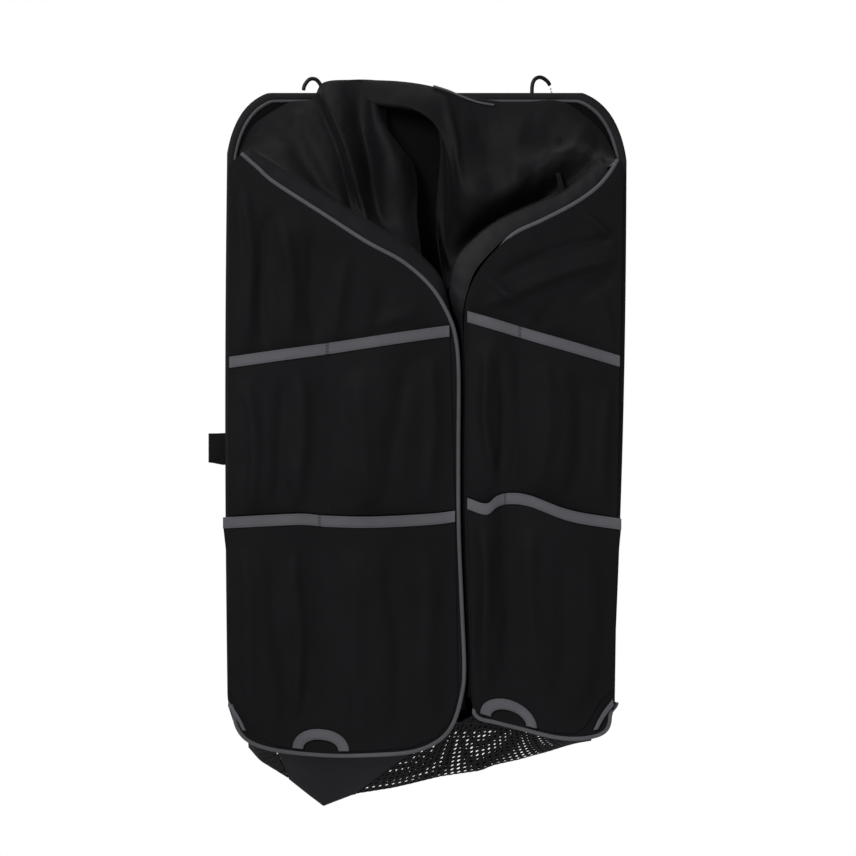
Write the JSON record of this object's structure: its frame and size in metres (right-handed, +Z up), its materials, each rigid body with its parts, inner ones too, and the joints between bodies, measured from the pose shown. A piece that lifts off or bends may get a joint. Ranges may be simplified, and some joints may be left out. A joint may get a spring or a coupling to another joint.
{
  "type": "hanging skate bag",
  "caption": "Flat hanging gear bag with a stiff back, two pocketed front doors closed by a centre zipper, mesh bottom gusset and carabiners to hang it.",
  "frame": {"origin": "midway between the two carabiners, on the line of the rail or hooks that they hang from", "axes": "+X to the right as seen from the front, -Y out of the front doors, +Z up"},
  "size_m": [0.6251, 0.1482, 1.0879],
  "materials": {
    "woven_polyester": "matte plain weave",
    "lining_cloth": "matte",
    "stiffener_board": "matte",
    "edge_binding": "ribbed tape",
    "dark_piping": "piped cord",
    "grey_piping": "piped cord",
    "grey_tape": "ribbed tape",
    "satin_strip": "slight sheen",
    "zipper_tape": "twill tape",
    "zipper_nylon": "satin",
    "open_mesh": "knitted mesh",
    "webbing": "woven webbing",
    "black_anodised": "satin anodised",
    "steel_wire": "polished"
  },
  "bodies": {
    "bag": {"back_panel": "woven_polyester", "back_stiffener_board": "stiffener_board", "back_lining": "lining_cloth", "back_edge_binding": "edge_binding", "back_edge_piping": "dark_piping", "hanging_loop_left": "webbing", "hanging_loop_right": "webbing", "side_gusset_left": "woven_polyester", "side_gusset_right": "woven_polyester", "top_gusset_left": "woven_polyester", "top_gusset_right": "woven_polyester", "top_gusset_piping": "dark_piping", "loose_tape_end": "zipper_tape", "bottom_mesh_left": "open_mesh", "bottom_patch": "woven_polyester", "bottom_mesh_right": "open_mesh", "side_handle": "webbing"},
    "left_carabiner": {"carabiner_left": "black_anodised"},
    "right_carabiner": {"carabiner_right": "black_anodised"},
    "left_gate": {"wire_gate_left": "steel_wire"},
    "right_gate": {"wire_gate_right": "steel_wire"},
    "zip_slider": {"zip_slider": "zipper_nylon"},
    "zip_pull": {"zip_pull": "zipper_nylon"},
    "left_door": {"front_panel_left": "woven_polyester", "door_piping_left": "grey_piping", "centre_strip_left": "satin_strip", "zipper_tape_left": "zipper_tape", "zipper_coil_left": "zipper_nylon", "upper_pocket_left": "woven_polyester", "upper_pocket_binding_left": "grey_tape", "lower_pocket_left": "woven_polyester", "lower_pocket_binding_left": "grey_tape", "drain_binding_left": "grey_tape", "corner_binding_left": "grey_tape"},
    "right_door": {"front_panel_right": "woven_polyester", "door_piping_right": "grey_piping", "centre_strip_right": "satin_strip", "zipper_tape_right": "zipper_tape", "zipper_coil_right": "zipper_nylon", "upper_pocket_right": "woven_polyester", "upper_pocket_binding_right": "grey_tape", "lower_pocket_right": "woven_polyester", "lower_pocket_binding_right": "grey_tape", "drain_binding_right": "grey_tape", "corner_binding_right": "grey_tape"}
  },
  "joints": [
    {"name": "left_carabiner_swing", "type": "hinge", "parent": "bag", "child": "left_carabiner", "pos_m": [-0.1585, 0, -0.056], "axis": [-1, 0, 0], "range_deg": [-3, 150]},
    {"name": "right_carabiner_swing", "type": "hinge", "parent": "bag", "child": "right_carabiner", "pos_m": [0.17, 0, -0.056], "axis": [-1, 0, 0], "range_deg": [-3, 150]},
    {"name": "left_gate_hinge", "type": "hinge", "parent": "left_carabiner", "child": "left_gate", "pos_m": [-0.1814, 0, -0.04571], "axis": [0, 1, 0], "range_deg": [0, 24], "stiffness_Nm_per_rad": 0.05, "springref_deg": -11.46},
    {"name": "right_gate_hinge", "type": "hinge", "parent": "right_carabiner", "child": "right_gate", "pos_m": [0.188, 0, -0.0385], "axis": [0, -1, 0], "range_deg": [0, 24], "stiffness_Nm_per_rad": 0.05, "springref_deg": -11.46},
    {"name": "left_door_hinge", "type": "hinge", "parent": "bag", "child": "left_door", "pos_m": [-0.289, -0.1162, -0.55], "axis": [0, 0, -1], "range_deg": [0, 100]},
    {"name": "right_door_hinge", "type": "hinge", "parent": "bag", "child": "right_door", "pos_m": [0.283, -0.1162, -0.55], "axis": [0, 0, 1], "range_deg": [0, 100]},
    {"name": "zip_slide", "type": "slide", "parent": "left_door", "child": "zip_slider", "axis": [0.0155, 0, -0.9999], "range_m": [0, 0.5]},
    {"name": "zip_pull_swing", "type": "hinge", "parent": "zip_slider", "child": "zip_pull", "pos_m": [0.0415, -0.0908, -0.3921], "axis": [1, 0, 0], "range_deg": [0, 85]}
  ]
}
